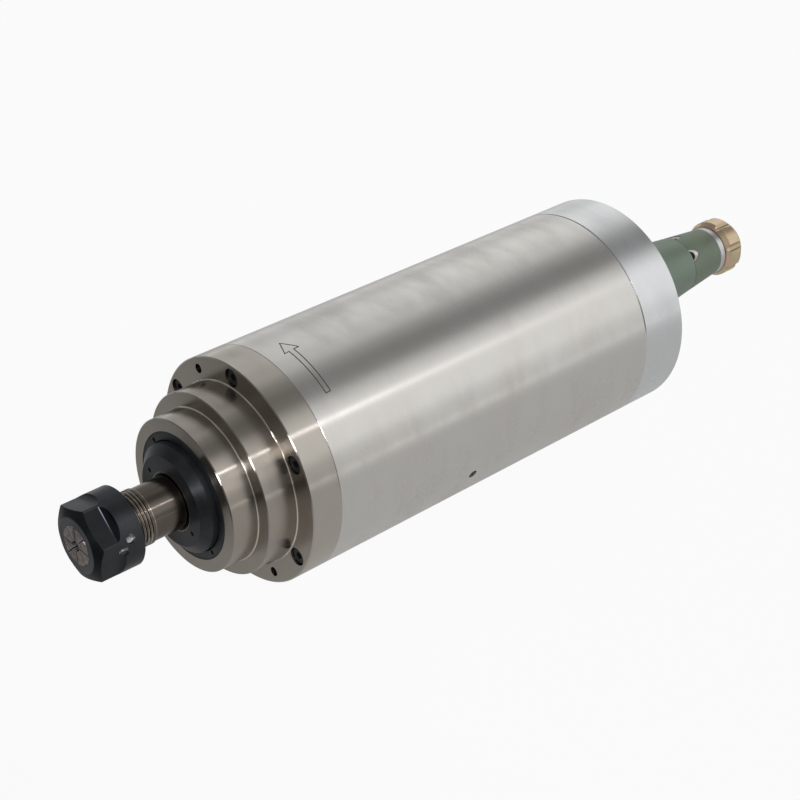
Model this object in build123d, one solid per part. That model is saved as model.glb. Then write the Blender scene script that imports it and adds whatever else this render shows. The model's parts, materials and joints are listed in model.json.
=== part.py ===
from build123d import *
import math
import os

# Motor spindle, millimetres. X runs along the shaft, from the nose (-X) to the rear cap (+X), Z is up.
# The origin is on the shaft's axis, at the front face of the flange.
# Angles about the axis are measured from +Y towards +Z.

# Fits: the radial gap between two pieces that stay together, and between two that turn or slide
seat_gap = 0.02
running_gap = 0.06
edge_break = 0.4
# How far a cutting tool runs past the surface that it opens
cut_past = 1.0

# Body
body_radius = 50.0
body_length = 220.0
flange_length = 14.5
cap_length = 25.0
cap_wall = 12.0
cap_chamfer = 1.0
cap_rim_width = 14.0
tube_wall = 3.0
nose_wall = 5.6
nose_step = 6.5
register_length = 14.5
nose_length = 12.5
root_radius = 0.5
spigot_length = 13.5

# Cap screws with sunk heads, in the flange and in the rear cap
screw_radius = 1.95
screw_hole_radius = 2.1
screw_thread_radius = 2.0
screw_head_radius = 3.5
screw_head_height = 4.0
screw_socket_flats = 3.0
screw_socket_depth = 2.2
counterbore_radius = 4.0
counterbore_depth = 5.0
screw_bite = 11.0
screw_circle_inset = 5.5
flange_screw_angles = [30 + 60 * i for i in range(6)]
cap_screw_angles = [5 + 90 * i for i in range(4)]
jack_hole_radius = 2.1
jack_hole_depth = 10.0
jack_circle_inset = 5.0
jack_hole_angles = [60, 240]

# Water jacket
jacket_wall = 7.0
channel_count = 5
channel_depth = 2.95
land_length = 7.0
jacket_end_length = 21.5
land_gap_width = 14.0
land_gap_angle = 200.0
seal_place = 17.0
seal_radius = 1.08
seal_groove_width = 2.8
seal_groove_depth = 2.25
duct_radius = 1.6
cross_duct_radius = 2.0
duct_wall = 0.6
port_angles = [-10.0, -70.0]
port_circle_inset = 17.0
port_depth = 9.0
port_duct_depth = 6.5
set_screw_land = 2
set_screw_radius = 1.95
set_screw_hole_radius = 2.05
set_screw_angle = 202.3
set_screw_inset = 0.8
set_screw_length = 4.8
set_screw_socket_flats = 2.0
set_screw_socket_depth = 1.6

# Water nipples
nipple_thread_radius = 4.83
nipple_bore_radius = 2.5
nipple_flats = 14.0
nipple_hex_length = 6.0
nipple_stub_radius = 4.0
nipple_stub_length = 14.0
nipple_seal_radius = 6.8
nipple_seal_thickness = 1.0

# Angular contact bearings, a pair at the front and a pair at the rear.
# Ring walls and balls are shares of the height between the journal and the seat.
front_journal_radius = 15.0
front_outer_radius = 27.5
front_bearing_width = 13.0
front_ball_share = 0.312
front_ball_count = 12
ring_wall_share = 0.288
spacer_length = 10.0
rear_journal_radius = 10.0
rear_outer_radius = 21.0
rear_bearing_width = 12.0
rear_ball_share = 0.282
rear_ball_count = 10
race_gap = 0.1
cage_half_thickness = 0.8
cage_inset = 1.5
pocket_gap = 0.15
bearing_shoulder_height = 3.0
rear_lip_radius = 17.0
rear_land_length = 3.0
preload_spring_length = 2.0
preload_spring_wall = 2.4
rear_housing_length = 35.0
rear_nut_radius = 15.0
rear_nut_length = 7.0
rear_nut_slot_width = 4.0
rear_nut_slot_depth = 2.0
rear_nut_slot_count = 4

# Front lock ring and the flinger disc that turns inside it
lock_ring_length = 9.0
lock_ring_step = 0.4
lock_ring_wall = 3.55
lock_ring_hole_radius = 1.0
lock_ring_hole_inset = 2.3
lock_ring_hole_depth = 4.0
lock_ring_hole_angles = [45.5, 225.5]
flinger_gap = 0.5
flinger_height = 6.0
flinger_cone_height = 4.15
flinger_cone_length = 3.4
flinger_rim_length = 6.6
flinger_hub_step = 0.6
flinger_seat_radius = 13.0
flinger_lip_length = 3.0
flinger_mouth_chamfer = 1.2
flinger_hole_radius = 1.0
flinger_hole_share = 0.55
flinger_hole_depth = 2.5
flinger_hole_angles = [31.5, 211.5]

# Shaft
shaft_thread_radius = 12.0
thread_pitch = 1.5
thread_depth = 0.6
thread_groove_share = 0.7
thread_past_nut = 8.8
neck_radius = 11.5
shaft_shoulder_radius = 18.4
shaft_shoulder_length = 20.0
rotor_seat_radius = 16.0
rear_step_radius = 12.5
shaft_tail = 2.0
relief_radius = 7.2
relief_length = 5.0
drill_point_length = 3.5

# Motor
winding_room = 18.0
end_turn_length = 9.0
end_turn_inner_radius = 25.2
end_turn_share = 0.742
end_turn_round_share = 0.23
winding_gap = 6.0
stator_bore_radius = 24.5
slot_count = 24
slot_width = 3.0
slot_share = 0.613
slot_bridge = 1.2
slot_liner = 0.05
air_gap = 0.4
rotor_bar_count = 18
rotor_bar_radius = 1.6
rotor_bar_circle = 21.5
end_ring_length = 5.0
end_ring_inner_radius = 17.5

# Collet with an eight degree taper, and its nut
collet_bore_radius = 2.5
collet_length = 31.5
collet_face_radius = 8.4
collet_cone_length = 2.6
collet_cone_angle = 30.0
collet_groove_radius = 8.9
collet_groove_length = 2.4
collet_radius = 10.45
collet_taper_angle = 8.0
collet_slot_count = 8
collet_slot_width = 0.5
collet_slot_web = 5.0
taper_gap = 0.05
collet_proud = 0.2
nut_radius = 17.1
nut_length = 20.8
nut_flats = 30.0
nut_flat_length = 8.9
nut_flat_angle = 12.2
nut_cove_radius = 3.0
nut_face_radius = 11.8
nut_face_cone_length = 2.4
nut_standoff = 29.8
nut_lip_radius = 9.05
nut_side_gap = 0.12
nut_mouth_in = 6.8
balance_hole_radius = 2.0
balance_hole_depth = 1.5
balance_hole_point = 1.15
balance_holes = [(14.9, 162.4), (11.5, 177.2)]

# Connector on the rear cap: its axis is parallel to the shaft
connector_circle_radius = 28.7
connector_angle = 140.0
socket_thread_radius = 12.0
socket_flange_radius = 13.2
socket_flange_length = 2.0
socket_radius = 11.0
socket_length = 18.0
socket_cavity_radius = 9.0
socket_back_radius = 8.0
socket_cavity_length = 14.0
insulator_inset = 4.0
pin_count = 4
pin_circle_radius = 3.6
pin_radius = 1.2
pin_tail_inset = 1.0
pin_tip_inset = 4.0
contact_wall = 0.5
contact_length = 18.0
lead_radius = 0.9
lead_hole_radius = 5.5

coupling_foot_gap = 0.5
coupling_foot_radius = 16.4
coupling_length = 23.0
coupling_taper = 0.12
coupling_lip_length = 2.9
socket_chamfer = 0.5
seam_gap = 0.2
shell_length = 20.6
shell_rear_radius = 11.4
sleeve_wall = 1.2
sleeve_gap = 0.15
sleeve_tip_gap = 1.5
collar_radius = 10.6
collar_length = 1.5
shell_throat_length = 5.0
neck_outer_radius = 9.6
neck_wall = 1.5
neck_length = 10.9
notch_angles = [77.0, 137.0, 257.0, 317.0]
notch_radius = 3.7
notch_length = 5.6
notch_depth = 2.6
washer_length = 3.3
clamp_nut_gap = 0.1
clamp_nut_radius = 13.3
clamp_nut_length = 11.9
clamp_nut_wall = 3.2
clamp_nut_hole_radius = 5.2
clamp_nut_flute_count = 7
clamp_nut_flute_angle = 107.0
clamp_nut_flute_radius = 2.0
clamp_nut_flute_depth = 1.2
clamp_nut_front_step = 1.4
clamp_nut_front_slope = 2.2
clamp_nut_rear_step = 2.3
clamp_nut_rear_slope = 3.0
grommet_bore_radius = 5.0
grommet_length = 16.5
grommet_proud = 0.2

# Sizes and places worked out from the values above
front_ring_wall = ring_wall_share * (front_outer_radius - front_journal_radius)
front_inner_ring_radius = front_journal_radius + front_ring_wall
front_outer_ring_bore = front_outer_radius - front_ring_wall
front_pitch_radius = (front_journal_radius + front_outer_radius) / 2
front_ball_radius = front_ball_share * (front_outer_radius - front_journal_radius)
rear_ring_wall = ring_wall_share * (rear_outer_radius - rear_journal_radius)
rear_inner_ring_radius = rear_journal_radius + rear_ring_wall
rear_outer_ring_bore = rear_outer_radius - rear_ring_wall
rear_pitch_radius = (rear_journal_radius + rear_outer_radius) / 2
rear_ball_radius = rear_ball_share * (rear_outer_radius - rear_journal_radius)
bearing_shoulder_radius = front_outer_radius - bearing_shoulder_height
lock_ring_radius = front_outer_radius + lock_ring_step
lock_ring_hole_circle = lock_ring_radius - lock_ring_hole_inset
nose_face = -(register_length + nose_length)
cap_front = body_length - cap_length
tube_bore_radius = body_radius - tube_wall
jacket_radius = tube_bore_radius - seat_gap
jacket_bore_radius = tube_bore_radius - jacket_wall
duct_circle_radius = jacket_bore_radius + duct_wall + duct_radius
screw_circle_radius = body_radius - screw_circle_inset
jack_circle_radius = body_radius - jack_circle_inset
port_circle_radius = body_radius - port_circle_inset
cap_cavity_radius = body_radius - cap_rim_width
nose_radius = lock_ring_radius + nose_wall
register_radius = nose_radius + nose_step
housing_rear = flange_length + spigot_length
front_stack_start = nose_face + lock_ring_length
front_stack_length = 2 * front_bearing_width + spacer_length
front_stack_end = front_stack_start + front_stack_length
rear_stack_end = cap_front - rear_land_length
rear_stack_start = rear_stack_end - 2 * rear_bearing_width
rear_housing_start = cap_front - rear_housing_length
stator_start = housing_rear + winding_room + end_turn_length
stator_end = rear_housing_start - winding_gap - end_turn_length
rotor_radius = stator_bore_radius - air_gap
slot_floor_radius = stator_bore_radius + slot_share * (jacket_bore_radius - stator_bore_radius)
end_turn_outer_radius = stator_bore_radius + end_turn_share * (jacket_bore_radius - stator_bore_radius)
end_turn_round = end_turn_round_share * (end_turn_outer_radius - end_turn_inner_radius)
flinger_face = nose_face - flinger_height
flinger_radius = lock_ring_radius - lock_ring_wall - flinger_gap
flinger_face_radius = flinger_radius - flinger_cone_height
flinger_hub_radius = front_inner_ring_radius - flinger_hub_step
flinger_hole_circle = neck_radius + flinger_hole_share * (flinger_face_radius - neck_radius)
nut_rear = nose_face - nut_standoff
nut_front = nut_rear - nut_length
collet_face = nut_front - collet_proud
shaft_front = collet_face + nut_mouth_in
thread_end = nut_rear + thread_past_nut
shaft_end = rear_stack_end + rear_nut_length + shaft_tail
channel_start = flange_length + jacket_end_length
channel_end = cap_front - jacket_end_length
channel_length = (channel_end - channel_start - (channel_count - 1) * land_length) / channel_count
set_screw_place = channel_start + set_screw_land * channel_length + (set_screw_land - 0.5) * land_length
connector_y = connector_circle_radius * math.cos(math.radians(connector_angle))
connector_z = connector_circle_radius * math.sin(math.radians(connector_angle))
cavity_floor = body_length - cap_wall
socket_face = body_length + socket_length
coupling_front = body_length + coupling_foot_gap
coupling_rear = coupling_front + coupling_length
coupling_rear_radius = coupling_foot_radius - coupling_length * coupling_taper
shell_front = coupling_rear + seam_gap
shell_rear = shell_front + shell_length
sleeve_radius = socket_cavity_radius - sleeve_gap
insert_radius = sleeve_radius - sleeve_wall
sleeve_front = socket_face - socket_cavity_length + sleeve_tip_gap
neck_rear = shell_rear + neck_length
neck_bore_radius = neck_outer_radius - neck_wall
clamp_nut_front = shell_rear + washer_length + clamp_nut_gap
clamp_nut_rear = clamp_nut_front + clamp_nut_length


def polar(radius, angle):
    """Y and Z of a point at a radius and an angle in degrees."""
    turn = math.radians(angle)
    return radius * math.cos(turn), radius * math.sin(turn)


def turned(profile):
    """Solid of revolution about X from its (x, radius) corners."""
    return revolve(make_face(Polyline(*profile, close=True)), axis=Axis.X)


def tube(start, end, outer, inner):
    return turned([(start, inner), (start, outer), (end, outer), (end, inner)])


def rod(start, end, radius, y=0.0, z=0.0):
    middle = (start + end) / 2
    return Pos(middle, y, z) * Rot(0, 90, 0) * Cylinder(radius, end - start)


def hex_rod(start, end, flats, y=0.0, z=0.0, turn=0.0):
    outline = RegularPolygon(flats / 2, 6, major_radius=False)
    return Pos(start, y, z) * Rot(turn, 0, 0) * Rot(0, 90, 0) * extrude(outline, end - start)


def radial_rod(x, angle, inner, outer, radius):
    return Rot(angle - 90, 0, 0) * Pos(x, 0, (inner + outer) / 2) * Cylinder(radius, outer - inner)


def radial_box(start, end, angle, inner, outer, width):
    size = Box(end - start, width, outer - inner)
    return Rot(angle - 90, 0, 0) * Pos((start + end) / 2, 0, (inner + outer) / 2) * size


def ring_groove(x, major, minor):
    return Pos(x, 0, 0) * Rot(0, 90, 0) * Torus(major, minor)


def ring_edges(solid, x, radius):
    """The round edges of that radius about the axis, at that place along it."""
    rings = solid.edges().filter_by(GeomType.CIRCLE)
    return [edge for edge in rings
            if abs(edge.radius - radius) < seat_gap and abs(edge.arc_center.X - x) < seat_gap]


def thread_profile(start, end, radius, pitch, depth):
    """Corners of a row of V grooves, which stand for the thread, from start to end."""
    corners = [(start, radius - depth), (start + depth, radius)]
    count = int((end - start - 2 * depth) / pitch)
    groove = thread_groove_share * pitch
    for i in range(count):
        x = start + depth + (i + 1) * pitch - groove
        corners += [(x, radius), (x + groove / 2, radius - depth), (x + groove, radius)]
    return corners + [(end, radius)]


def at_connector(shape):
    return Pos(0, connector_y, connector_z) * shape


def front_bearing_housing():
    profile = [
        (nose_face, lock_ring_radius + seat_gap),
        (nose_face, nose_radius - edge_break),
        (nose_face + edge_break, nose_radius),
        (-register_length, nose_radius),
        (-register_length, register_radius - edge_break),
        (-register_length + edge_break, register_radius),
        (0, register_radius),
        (0, body_radius - edge_break),
        (edge_break, body_radius),
        (flange_length, body_radius),
        (flange_length, jacket_bore_radius - seat_gap),
        (housing_rear, jacket_bore_radius - seat_gap),
        (housing_rear, bearing_shoulder_radius),
        (front_stack_end, bearing_shoulder_radius),
        (front_stack_end, front_outer_radius + seat_gap),
        (front_stack_start, front_outer_radius + seat_gap),
        (front_stack_start, lock_ring_radius + seat_gap),
    ]
    housing = turned(profile)
    for place, radius in ((-register_length, nose_radius), (0, register_radius)):
        housing = fillet(ring_edges(housing, place, radius), root_radius)
    for angle in flange_screw_angles:
        y, z = polar(screw_circle_radius, angle)
        housing -= rod(0, flange_length, screw_hole_radius, y, z)
        housing -= rod(0, counterbore_depth, counterbore_radius, y, z)
    for angle in jack_hole_angles:
        y, z = polar(jack_circle_radius, angle)
        housing -= rod(0, jack_hole_depth, jack_hole_radius, y, z)
    return housing


def sunk_screw(seat, direction, reach, angle):
    """A socket head screw whose head rests on seat and whose shank runs reach along direction (+1 or -1)."""
    y, z = polar(screw_circle_radius, angle)
    top = seat - direction * screw_head_height
    tip = seat + direction * reach
    screw = rod(min(top, seat), max(top, seat), screw_head_radius, y, z)
    screw += rod(min(seat, tip), max(seat, tip), screw_radius, y, z)
    floor = top + direction * screw_socket_depth
    return screw - hex_rod(min(top, floor), max(top, floor), screw_socket_flats, y, z)


def flange_screws():
    reach = flange_length - counterbore_depth + screw_bite
    return [sunk_screw(counterbore_depth, 1, reach, angle) for angle in flange_screw_angles]


def rear_cap_screws():
    reach = cap_length - counterbore_depth + screw_bite
    return [sunk_screw(body_length - counterbore_depth, -1, reach, angle) for angle in cap_screw_angles]


def front_lock_ring():
    bore = lock_ring_radius - lock_ring_wall
    ring = turned([
        (nose_face, bore),
        (nose_face, lock_ring_radius - edge_break),
        (nose_face + edge_break, lock_ring_radius),
        (front_stack_start, lock_ring_radius),
        (front_stack_start, bore),
    ])
    for angle in lock_ring_hole_angles:
        y, z = polar(lock_ring_hole_circle, angle)
        ring -= rod(nose_face, nose_face + lock_ring_hole_depth, lock_ring_hole_radius, y, z)
    return ring


def front_places():
    return [front_stack_start, front_stack_end - front_bearing_width]


def rear_places():
    return [rear_stack_start, rear_stack_end - rear_bearing_width]


def bearing_rings(places, width, outer, inner, pitch, ball):
    """One ring for each bearing, with its ball groove."""
    return [tube(x, x + width, outer, inner) - ring_groove(x + width / 2, pitch, ball + race_gap)
            for x in places]


def ball_set(x, pitch, ball, count):
    balls = []
    for i in range(count):
        y, z = polar(pitch, 360 * i / count)
        balls.append(Pos(x, y, z) * Sphere(ball))
    return balls


def bearing_balls(places, width, pitch, ball, count):
    return [item for x in places for item in ball_set(x + width / 2, pitch, ball, count)]


def bearing_cages(places, width, pitch, ball, count):
    cages = []
    for x in places:
        cage = tube(x + cage_inset, x + width - cage_inset, pitch + cage_half_thickness,
                    pitch - cage_half_thickness)
        for pocket in ball_set(x + width / 2, pitch, ball + pocket_gap, count):
            cage -= pocket
        cages.append(cage)
    return cages


def front_outer_spacer():
    start = front_stack_start + front_bearing_width
    return tube(start, start + spacer_length, front_outer_radius, front_outer_ring_bore)


def front_inner_spacer():
    start = front_stack_start + front_bearing_width
    return tube(start, start + spacer_length, front_inner_ring_radius, front_journal_radius + seat_gap)


def body_tube():
    shell = turned([
        (flange_length, tube_bore_radius),
        (flange_length, body_radius - edge_break),
        (flange_length + edge_break, body_radius),
        (cap_front - edge_break, body_radius),
        (cap_front, body_radius - edge_break),
        (cap_front, tube_bore_radius),
    ])
    outside = body_radius + tube_wall
    return shell - radial_rod(set_screw_place, set_screw_angle, jacket_radius - tube_wall, outside,
                              set_screw_hole_radius)


def body_set_screw():
    top = body_radius - set_screw_inset
    screw = radial_rod(set_screw_place, set_screw_angle, top - set_screw_length, top, set_screw_radius)
    outline = RegularPolygon(set_screw_socket_flats / 2, 6, major_radius=False)
    socket = Pos(set_screw_place, 0, top - set_screw_socket_depth) * extrude(outline, set_screw_socket_depth)
    return screw - Rot(set_screw_angle - 90, 0, 0) * socket


def water_jacket():
    jacket = tube(flange_length, cap_front, jacket_radius, jacket_bore_radius)
    floor = jacket_radius - channel_depth
    for i in range(channel_count):
        start = channel_start + i * (channel_length + land_length)
        jacket -= tube(start, start + channel_length, body_radius, floor)
    for i in range(channel_count - 1):
        start = channel_start + channel_length + i * (channel_length + land_length)
        angle = land_gap_angle + 180 * (i % 2)
        jacket -= radial_box(start - cut_past, start + land_length + cut_past, angle, floor, body_radius,
                             land_gap_width)
    for x in seal_places():
        half = seal_groove_width / 2
        jacket -= tube(x - half, x + half, body_radius, jacket_radius - seal_groove_depth)
    for angle in flange_screw_angles:
        y, z = polar(screw_circle_radius, angle)
        jacket -= rod(flange_length, flange_length + screw_bite + cut_past, screw_thread_radius, y, z)
    for angle in cap_screw_angles:
        y, z = polar(screw_circle_radius, angle)
        jacket -= rod(cap_front - screw_bite - cut_past, cap_front, screw_thread_radius, y, z)
    ends = [channel_end - channel_length / 2, channel_start + channel_length / 2]
    for angle, end in zip(port_angles, ends):
        y, z = polar(duct_circle_radius, angle)
        jacket -= rod(end, cap_front, duct_radius, y, z)
        jacket -= radial_rod(end, angle, duct_circle_radius, jacket_radius, cross_duct_radius)
    bite = body_radius - set_screw_inset - set_screw_length - seat_gap
    return jacket - radial_rod(set_screw_place, set_screw_angle, bite, body_radius, set_screw_hole_radius)


def seal_places():
    return [flange_length + seal_place, cap_front - seal_place]


def jacket_seals():
    major = jacket_radius - seal_groove_depth / 2
    return [ring_groove(x, major, seal_radius) for x in seal_places()]


def stator_core():
    core = tube(stator_start, stator_end, jacket_bore_radius - seat_gap, stator_bore_radius)
    for i in range(slot_count):
        core -= radial_box(stator_start, stator_end, 360 * i / slot_count, stator_bore_radius + slot_bridge,
                           slot_floor_radius, slot_width)
    return core


def stator_windings():
    low = stator_bore_radius + slot_bridge + slot_liner
    high = slot_floor_radius - slot_liner
    front = tube(stator_start - end_turn_length, stator_start, end_turn_outer_radius, end_turn_inner_radius)
    front = fillet(front.edges().group_by(Axis.X)[0], end_turn_round)
    rear = tube(stator_end, stator_end + end_turn_length, end_turn_outer_radius, end_turn_inner_radius)
    rear = fillet(rear.edges().group_by(Axis.X)[-1].sort_by(SortBy.RADIUS)[-1:], end_turn_round)
    coil = front + rear
    for i in range(slot_count):
        angle = 360 * i / slot_count
        coil += radial_box(stator_start, stator_end, angle, low, high, slot_width - 2 * slot_liner)
    return coil


def rear_bearing_housing():
    lip_end = rear_stack_start - preload_spring_length
    housing = turned([
        (rear_housing_start, rear_lip_radius),
        (rear_housing_start, jacket_bore_radius - seat_gap),
        (cap_front, jacket_bore_radius - seat_gap),
        (cap_front, rear_outer_radius + seat_gap),
        (lip_end, rear_outer_radius + seat_gap),
        (lip_end, rear_lip_radius),
    ])
    return housing - rod(rear_housing_start, cap_front, lead_hole_radius, connector_y, connector_z)


def preload_spring():
    outer = rear_outer_radius - seat_gap
    start = rear_stack_start - preload_spring_length
    return tube(start, rear_stack_start, outer, outer - preload_spring_wall)


def rear_cap():
    cap = turned([
        (cap_front, cap_cavity_radius),
        (cap_front, body_radius - edge_break),
        (cap_front + edge_break, body_radius),
        (body_length - cap_chamfer, body_radius),
        (body_length, body_radius - cap_chamfer),
        (body_length, 0),
        (cavity_floor, 0),
        (cavity_floor, cap_cavity_radius),
    ])
    cap -= rod(cavity_floor, body_length, socket_thread_radius + seat_gap, connector_y, connector_z)
    for angle in cap_screw_angles:
        y, z = polar(screw_circle_radius, angle)
        cap -= rod(cap_front, body_length, screw_hole_radius, y, z)
        cap -= rod(body_length - counterbore_depth, body_length, counterbore_radius, y, z)
    for angle in port_angles:
        y, z = polar(port_circle_radius, angle)
        cap -= rod(body_length - port_depth, body_length, nipple_thread_radius + seat_gap, y, z)
        cross = body_length - port_duct_depth
        reach = duct_circle_radius + cross_duct_radius
        cap -= radial_rod(cross, angle, port_circle_radius, reach, cross_duct_radius)
        y, z = polar(duct_circle_radius, angle)
        cap -= rod(cap_front, cross, duct_radius, y, z)
    return cap


def water_nipple(angle):
    y, z = polar(port_circle_radius, angle)
    seat = body_length + nipple_seal_thickness
    hex_end = seat + nipple_hex_length
    cross = body_length - port_duct_depth
    nipple = rod(cross + cross_duct_radius, seat, nipple_thread_radius, y, z)
    nipple += hex_rod(seat, hex_end, nipple_flats, y, z, angle)
    nipple += rod(hex_end, hex_end + nipple_stub_length, nipple_stub_radius, y, z)
    return nipple - rod(cross, hex_end + nipple_stub_length, nipple_bore_radius, y, z)


def nipple_seal(angle):
    y, z = polar(port_circle_radius, angle)
    end = body_length + nipple_seal_thickness
    seal = rod(body_length, end, nipple_seal_radius, y, z)
    return seal - rod(body_length, end, nipple_thread_radius + seat_gap, y, z)


def taper_bore(reach):
    """The tool that cuts the shaft's taper and the relief behind it."""
    slope = math.tan(math.radians(collet_taper_angle))
    taper_start = collet_face + collet_cone_length + collet_groove_length
    mouth = collet_radius + taper_gap - slope * (shaft_front - taper_start)
    end_radius = collet_radius + taper_gap - slope * (reach - taper_start)
    return turned([
        (shaft_front, 0),
        (shaft_front, mouth),
        (reach, end_radius),
        (reach, relief_radius),
        (reach + relief_length, relief_radius),
        (reach + relief_length + drill_point_length, 0),
    ])


def spindle_shaft():
    seat_start = flinger_face + flinger_lip_length + seat_gap
    shoulder_end = front_stack_end + shaft_shoulder_length
    rear_seat_end = stator_end + end_ring_length + winding_gap
    profile = [(shaft_front, 0)]
    profile += thread_profile(shaft_front, thread_end, shaft_thread_radius, thread_pitch, thread_depth)
    profile += [
        (thread_end, neck_radius),
        (seat_start, neck_radius),
        (seat_start, flinger_seat_radius),
        (front_stack_start, flinger_seat_radius),
        (front_stack_start, front_journal_radius),
        (front_stack_end, front_journal_radius),
        (front_stack_end, shaft_shoulder_radius),
        (shoulder_end, shaft_shoulder_radius),
        (shoulder_end, rotor_seat_radius),
        (rear_seat_end, rotor_seat_radius),
        (rear_seat_end, rear_step_radius),
        (rear_stack_start, rear_step_radius),
        (rear_stack_start, rear_journal_radius),
        (shaft_end - edge_break, rear_journal_radius),
        (shaft_end, rear_journal_radius - edge_break),
        (shaft_end, 0),
    ]
    return turned(profile) - taper_bore(collet_face + collet_length + cut_past)


def flinger_disc():
    bore = neck_radius + seat_gap
    lip_end = flinger_face + flinger_lip_length
    seat = flinger_seat_radius + seat_gap
    rim_start = flinger_face + flinger_cone_length
    rim_end = rim_start + flinger_rim_length
    disc = turned([
        (flinger_face, bore + flinger_mouth_chamfer),
        (flinger_face, flinger_face_radius),
        (rim_start, flinger_radius),
        (rim_end, flinger_radius),
        (rim_end, flinger_hub_radius),
        (front_stack_start, flinger_hub_radius),
        (front_stack_start, seat),
        (lip_end, seat),
        (lip_end, bore),
        (flinger_face + flinger_mouth_chamfer, bore),
    ])
    for angle in flinger_hole_angles:
        y, z = polar(flinger_hole_circle, angle)
        disc -= rod(flinger_face, flinger_face + flinger_hole_depth, flinger_hole_radius, y, z)
    return disc


def rotor_core():
    core = tube(stator_start, stator_end, rotor_radius, rotor_seat_radius + seat_gap)
    for i in range(rotor_bar_count):
        y, z = polar(rotor_bar_circle, 360 * i / rotor_bar_count)
        core -= rod(stator_start, stator_end, rotor_bar_radius + seat_gap, y, z)
    return core


def rotor_cage():
    outer = rotor_radius - seat_gap
    cage = tube(stator_start - end_ring_length, stator_start, outer, end_ring_inner_radius)
    cage += tube(stator_end, stator_end + end_ring_length, outer, end_ring_inner_radius)
    for i in range(rotor_bar_count):
        y, z = polar(rotor_bar_circle, 360 * i / rotor_bar_count)
        cage += rod(stator_start, stator_end, rotor_bar_radius, y, z)
    return cage


def rear_shaft_nut():
    start = rear_stack_end
    end = start + rear_nut_length
    nut = tube(start, end, rear_nut_radius, rear_journal_radius + seat_gap)
    for i in range(rear_nut_slot_count):
        angle = 360 * i / rear_nut_slot_count
        nut -= radial_box(start, end, angle, rear_nut_radius - rear_nut_slot_depth,
                          rear_nut_radius + cut_past, rear_nut_slot_width)
    return nut


def collet():
    cone_end = collet_face + collet_cone_length
    cone_radius = collet_face_radius + collet_cone_length * math.tan(math.radians(collet_cone_angle))
    groove_end = cone_end + collet_groove_length
    rear = collet_face + collet_length
    rear_radius = collet_radius - (rear - groove_end) * math.tan(math.radians(collet_taper_angle))
    piece = turned([
        (collet_face, collet_bore_radius),
        (collet_face, collet_face_radius),
        (cone_end, cone_radius),
        (cone_end, collet_groove_radius),
        (groove_end, collet_groove_radius),
        (groove_end, collet_radius),
        (rear, rear_radius),
        (rear, collet_bore_radius),
    ])
    for i in range(collet_slot_count):
        front_angle = 360 * i / collet_slot_count
        rear_angle = front_angle + 180 / collet_slot_count
        piece -= radial_box(collet_face, rear - collet_slot_web, front_angle, 0, 2 * collet_radius,
                            collet_slot_width)
        piece -= radial_box(groove_end + collet_slot_web, rear, rear_angle, 0, 2 * collet_radius,
                            collet_slot_width)
    return piece


def nut_flat(angle):
    """The tool that cuts one flat, and the round cutter that runs out of it into the collar."""
    flat_end = nut_front + nut_flat_length
    height = nut_radius + cut_past - nut_flats / 2
    flat = Pos((nut_front + flat_end) / 2, nut_flats / 2 + height / 2, 0) * Box(
        nut_flat_length, height, 2 * nut_radius)
    cove = Pos(flat_end, nut_flats / 2 + nut_cove_radius, 0) * Cylinder(nut_cove_radius, 2 * nut_radius)
    return Rot(angle, 0, 0) * (flat + cove)


def drilled_hole(x, angle, surface, depth, radius, point):
    """The tool that drills a radial hole with a cone at its floor."""
    floor = surface - depth
    cone = Pos(x, 0, floor - point / 2) * Cone(0, radius, point)
    return radial_rod(x, angle, floor, surface + cut_past, radius) + Rot(angle - 90, 0, 0) * cone


def collet_nut():
    slope = math.tan(math.radians(collet_cone_angle))
    mouth = collet_face_radius + collet_proud * slope + nut_side_gap
    lip_start = collet_face + collet_cone_length + nut_side_gap
    lip_end = collet_face + collet_cone_length + collet_groove_length - nut_side_gap
    bore = shaft_thread_radius + running_gap
    nut = turned([
        (nut_front, mouth),
        (nut_front, nut_face_radius),
        (nut_front + nut_face_cone_length, nut_radius),
        (nut_rear - edge_break, nut_radius),
        (nut_rear, nut_radius - edge_break),
        (nut_rear, bore),
        (lip_end, bore),
        (lip_end, nut_lip_radius),
        (lip_start, nut_lip_radius),
        (lip_start, mouth + slope * (lip_start - nut_front)),
    ])
    for i in range(6):
        nut -= nut_flat(nut_flat_angle + 60 * i)
    for back, angle in balance_holes:
        nut -= drilled_hole(nut_front + back, angle, nut_radius, balance_hole_depth, balance_hole_radius,
                            balance_hole_point)
    return nut


def pin_places():
    return [polar(pin_circle_radius, connector_angle + 360 * (i + 0.5) / pin_count) for i in range(pin_count)]


def connector_socket():
    back_end = socket_face - socket_cavity_length
    profile = [
        (cavity_floor, socket_back_radius + seat_gap),
        (cavity_floor, socket_thread_radius),
        (body_length, socket_thread_radius),
        (body_length, socket_flange_radius),
        (body_length + socket_flange_length, socket_flange_radius),
        (body_length + socket_flange_length, socket_radius),
        (socket_face - socket_chamfer, socket_radius),
        (socket_face, socket_radius - socket_chamfer),
        (socket_face, socket_cavity_radius),
        (back_end, socket_cavity_radius),
        (back_end, socket_back_radius + seat_gap),
    ]
    return at_connector(turned(profile))


def socket_insulator():
    disc = rod(cavity_floor + insulator_inset, socket_face - socket_cavity_length, socket_back_radius)
    for y, z in pin_places():
        disc -= rod(cavity_floor, socket_face, pin_radius + seat_gap, y, z)
    return at_connector(disc)


def pin_start():
    return cavity_floor + pin_tail_inset


def socket_pins():
    tip = socket_face - pin_tip_inset
    return [at_connector(rod(pin_start(), tip, pin_radius, y, z)) for y, z in pin_places()]


def motor_leads():
    start = stator_end + end_turn_length
    return [at_connector(rod(start, pin_start(), lead_radius, y, z)) for y, z in pin_places()]


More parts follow.
